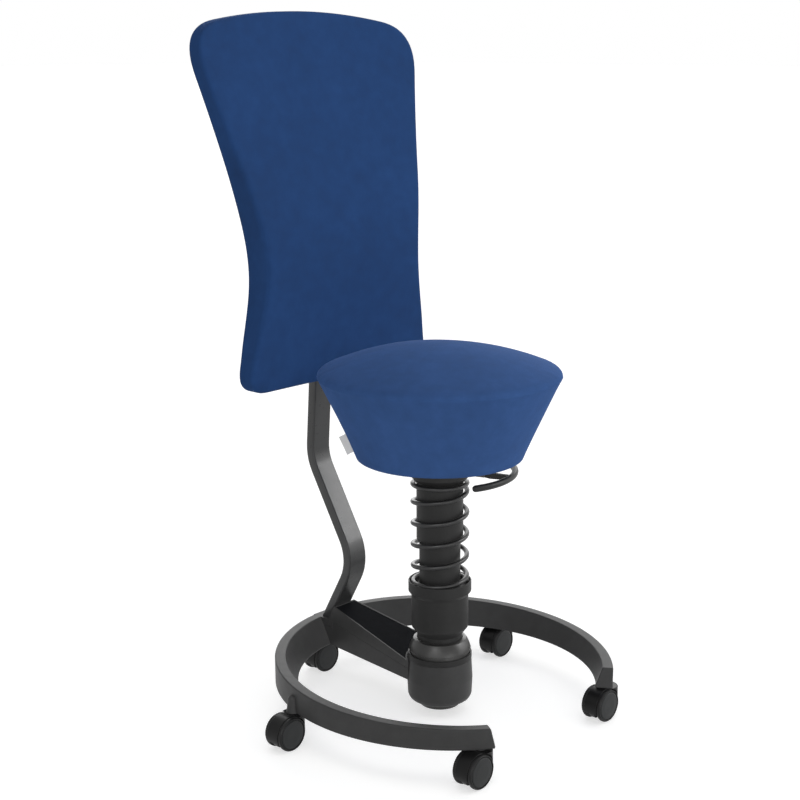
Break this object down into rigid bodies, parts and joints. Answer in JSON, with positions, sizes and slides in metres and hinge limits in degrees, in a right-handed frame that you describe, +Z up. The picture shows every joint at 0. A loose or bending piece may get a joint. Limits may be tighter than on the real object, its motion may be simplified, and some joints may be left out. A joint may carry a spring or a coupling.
{
  "type": "spring balance stool",
  "caption": "Active sitting stool: open ring base on twin-wheel castors, tilting sprung column, round padded seat with release lever and a tall fixed backrest on a bent bar.",
  "frame": {"origin": "on the floor under the middle of the whole stool's bounding box", "axes": "+Z up, -Y towards the stool's front (the open side of the ring), +X to the right seen from behind"},
  "size_m": [0.5368, 0.5307, 1.047],
  "materials": {
    "coated_metal": "anthracite satin powder coat on cast aluminium",
    "lever_coating": "grey satin coat",
    "spring_coating": "dark satin coat on spring steel",
    "black_plastic": "fine matt grain",
    "grey_plastic": "plain",
    "black_rubber": "matt",
    "steel": "plain turned",
    "blue_fabric": "woven upholstery",
    "label_fabric": "blank woven label",
    "wheel_plastic": "smooth tread, grey disc"
  },
  "bodies": {
    "base": {"base_ring": "coated_metal", "base_arm": "coated_metal", "backrest_foot": "coated_metal", "foot_inlay": "black_rubber", "backrest_bar": "coated_metal", "backrest_shell": "black_plastic", "backrest_cushion": "blue_fabric", "hub_pot": "coated_metal", "hub_collar": "black_plastic", "hub_bottom_cap": "black_plastic", "ball_seat": "steel", "rubber_buffer": "black_rubber", "castor_stem_1": "steel", "castor_stem_2": "steel", "castor_stem_3": "steel", "castor_stem_4": "steel", "castor_stem_5": "steel"},
    "tilt_core": {"pivot_ball": "steel"},
    "column": {"column_stud": "steel", "boot_dome": "black_plastic", "spring_cup": "black_plastic", "lower_tube": "black_plastic", "coil_spring": "spring_coating"},
    "carrier": {"upper_tube": "black_plastic", "upper_spring_cup": "black_plastic", "guide_bush": "grey_plastic", "lift_tube": "steel", "piston_rod": "steel"},
    "lift": {"gas_cylinder": "steel"},
    "seat": {"seat_plate": "coated_metal", "seat_cushion": "blue_fabric", "seat_tag": "label_fabric", "lever_bracket": "steel", "lever_pin": "steel"},
    "lever": {"release_lever": "lever_coating"},
    "valve": {"valve_button": "steel"},
    "castor_1": {"castor_hood_1": "black_plastic", "castor_axle_1": "steel"},
    "wheel_1_front": {"castor_wheel_1_front": "wheel_plastic"},
    "wheel_1_rear": {"castor_wheel_1_rear": "wheel_plastic"},
    "castor_2": {"castor_hood_2": "black_plastic", "castor_axle_2": "steel"},
    "wheel_2_front": {"castor_wheel_2_front": "wheel_plastic"},
    "wheel_2_rear": {"castor_wheel_2_rear": "wheel_plastic"},
    "castor_3": {"castor_hood_3": "black_plastic", "castor_axle_3": "steel"},
    "wheel_3_front": {"castor_wheel_3_front": "wheel_plastic"},
    "wheel_3_rear": {"castor_wheel_3_rear": "wheel_plastic"},
    "castor_4": {"castor_hood_4": "black_plastic", "castor_axle_4": "steel"},
    "wheel_4_front": {"castor_wheel_4_front": "wheel_plastic"},
    "wheel_4_rear": {"castor_wheel_4_rear": "wheel_plastic"},
    "castor_5": {"castor_hood_5": "black_plastic", "castor_axle_5": "steel"},
    "wheel_5_front": {"castor_wheel_5_front": "wheel_plastic"},
    "wheel_5_rear": {"castor_wheel_5_rear": "wheel_plastic"}
  },
  "joints": [
    {"name": "tilt_forward", "type": "hinge", "parent": "base", "child": "tilt_core", "pos_m": [0.0115, -0.0388, 0.0895], "axis": [1, 0, 0], "range_deg": [-1, 4], "stiffness_Nm_per_rad": 400},
    {"name": "tilt_side", "type": "hinge", "parent": "tilt_core", "child": "column", "pos_m": [0.0115, -0.0388, 0.0895], "axis": [0, 1, 0], "range_deg": [-4, 4], "stiffness_Nm_per_rad": 400},
    {"name": "spring_travel", "type": "slide", "parent": "column", "child": "carrier", "axis": [0, 0, 1], "range_m": [-0.05, 0], "stiffness_N_per_m": 9000, "springref_m": 0.03, "deforming": ["coil_spring"]},
    {"name": "seat_height", "type": "slide", "parent": "carrier", "child": "lift", "axis": [0, 0, 1], "range_m": [0, 0.08]},
    {"name": "seat_swivel", "type": "hinge", "parent": "lift", "child": "seat", "pos_m": [0.0115, -0.0388, 0.4], "axis": [0, 0, 1], "continuous": true},
    {"name": "lever_pull", "type": "hinge", "parent": "seat", "child": "lever", "pos_m": [0.03407, -0.10082, 0.382], "axis": [-0.9397, -0.342, 0], "range_deg": [0, 3.2], "stiffness_Nm_per_rad": 1, "springref_deg": -5.73},
    {"name": "valve_press", "type": "slide", "parent": "lift", "child": "valve", "axis": [0, 0, 1], "range_m": [-0.0038, 0]},
    {"name": "castor_1_swivel", "type": "hinge", "parent": "base", "child": "castor_1", "pos_m": [0.15927, -0.24619, 0.04], "axis": [0, 0, 1], "continuous": true},
    {"name": "wheel_1_front_roll", "type": "hinge", "parent": "castor_1", "child": "wheel_1_front", "pos_m": [0.14377, -0.24619, 0.025], "axis": [0, 1, 0], "continuous": true},
    {"name": "wheel_1_rear_roll", "type": "hinge", "parent": "castor_1", "child": "wheel_1_rear", "pos_m": [0.14377, -0.24619, 0.025], "axis": [0, 1, 0], "continuous": true},
    {"name": "castor_2_swivel", "type": "hinge", "parent": "base", "child": "castor_2", "pos_m": [0.2506, 0.03489, 0.04], "axis": [0, 0, 1], "continuous": true},
    {"name": "wheel_2_front_roll", "type": "hinge", "parent": "castor_2", "child": "wheel_2_front", "pos_m": [0.2351, 0.03489, 0.025], "axis": [0, 1, 0], "continuous": true},
    {"name": "wheel_2_rear_roll", "type": "hinge", "parent": "castor_2", "child": "wheel_2_rear", "pos_m": [0.2351, 0.03489, 0.025], "axis": [0, 1, 0], "continuous": true},
    {"name": "castor_3_swivel", "type": "hinge", "parent": "base", "child": "castor_3", "pos_m": [0.0115, 0.2086, 0.04], "axis": [0, 0, 1], "continuous": true},
    {"name": "wheel_3_front_roll", "type": "hinge", "parent": "castor_3", "child": "wheel_3_front", "pos_m": [-0.004, 0.2086, 0.025], "axis": [0, 1, 0], "continuous": true},
    {"name": "wheel_3_rear_roll", "type": "hinge", "parent": "castor_3", "child": "wheel_3_rear", "pos_m": [-0.004, 0.2086, 0.025], "axis": [0, 1, 0], "continuous": true},
    {"name": "castor_4_swivel", "type": "hinge", "parent": "base", "child": "castor_4", "pos_m": [-0.2276, 0.03489, 0.04], "axis": [0, 0, 1], "continuous": true},
    {"name": "wheel_4_front_roll", "type": "hinge", "parent": "castor_4", "child": "wheel_4_front", "pos_m": [-0.2431, 0.03489, 0.025], "axis": [0, 1, 0], "continuous": true},
    {"name": "wheel_4_rear_roll", "type": "hinge", "parent": "castor_4", "child": "wheel_4_rear", "pos_m": [-0.2431, 0.03489, 0.025], "axis": [0, 1, 0], "continuous": true},
    {"name": "castor_5_swivel", "type": "hinge", "parent": "base", "child": "castor_5", "pos_m": [-0.13627, -0.24619, 0.04], "axis": [0, 0, 1], "continuous": true},
    {"name": "wheel_5_front_roll", "type": "hinge", "parent": "castor_5", "child": "wheel_5_front", "pos_m": [-0.15177, -0.24619, 0.025], "axis": [0, 1, 0], "continuous": true},
    {"name": "wheel_5_rear_roll", "type": "hinge", "parent": "castor_5", "child": "wheel_5_rear", "pos_m": [-0.15177, -0.24619, 0.025], "axis": [0, 1, 0], "continuous": true}
  ],
  "couplings": [
    {"joint": "valve_press", "follows": "lever_pull", "m_per_rad": -0.066}
  ]
}
